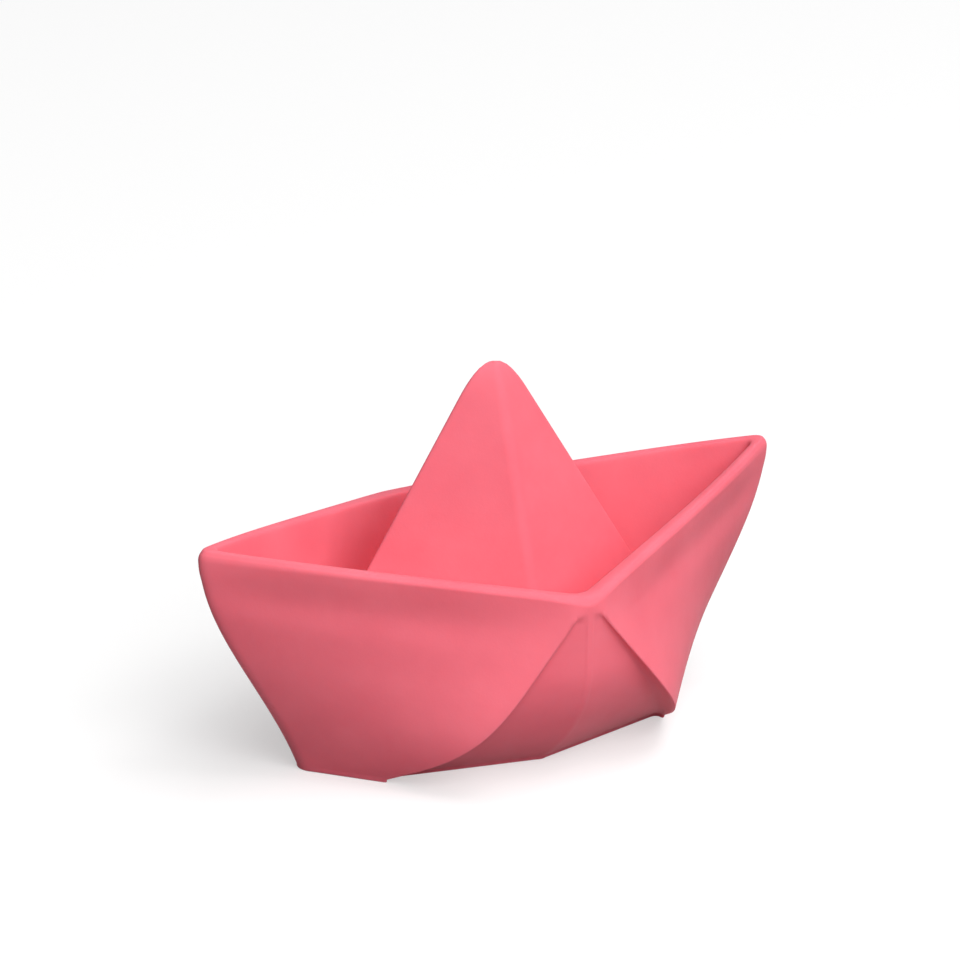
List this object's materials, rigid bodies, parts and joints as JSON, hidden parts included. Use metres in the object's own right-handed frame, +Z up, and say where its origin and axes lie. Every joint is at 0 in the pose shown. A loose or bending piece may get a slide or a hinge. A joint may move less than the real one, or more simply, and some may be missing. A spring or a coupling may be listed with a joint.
{
  "type": "paper-boat-shaped bath toy",
  "caption": "Soft rubber toy boat in the shape of a folded paper boat, with a pointed sail between two open wells; it floats and stands on its flat bottom.",
  "frame": {"origin": "middle of the flat bottom, at the height it rests on", "axes": "+X towards one tip of the hull, +Y towards one side, +Z up"},
  "size_m": [0.1156, 0.064, 0.068],
  "materials": {
    "rubber": "matte, soft coral-pink rubber"
  },
  "bodies": {
    "root": {"boat": "rubber"}
  },
  "joints": []
}
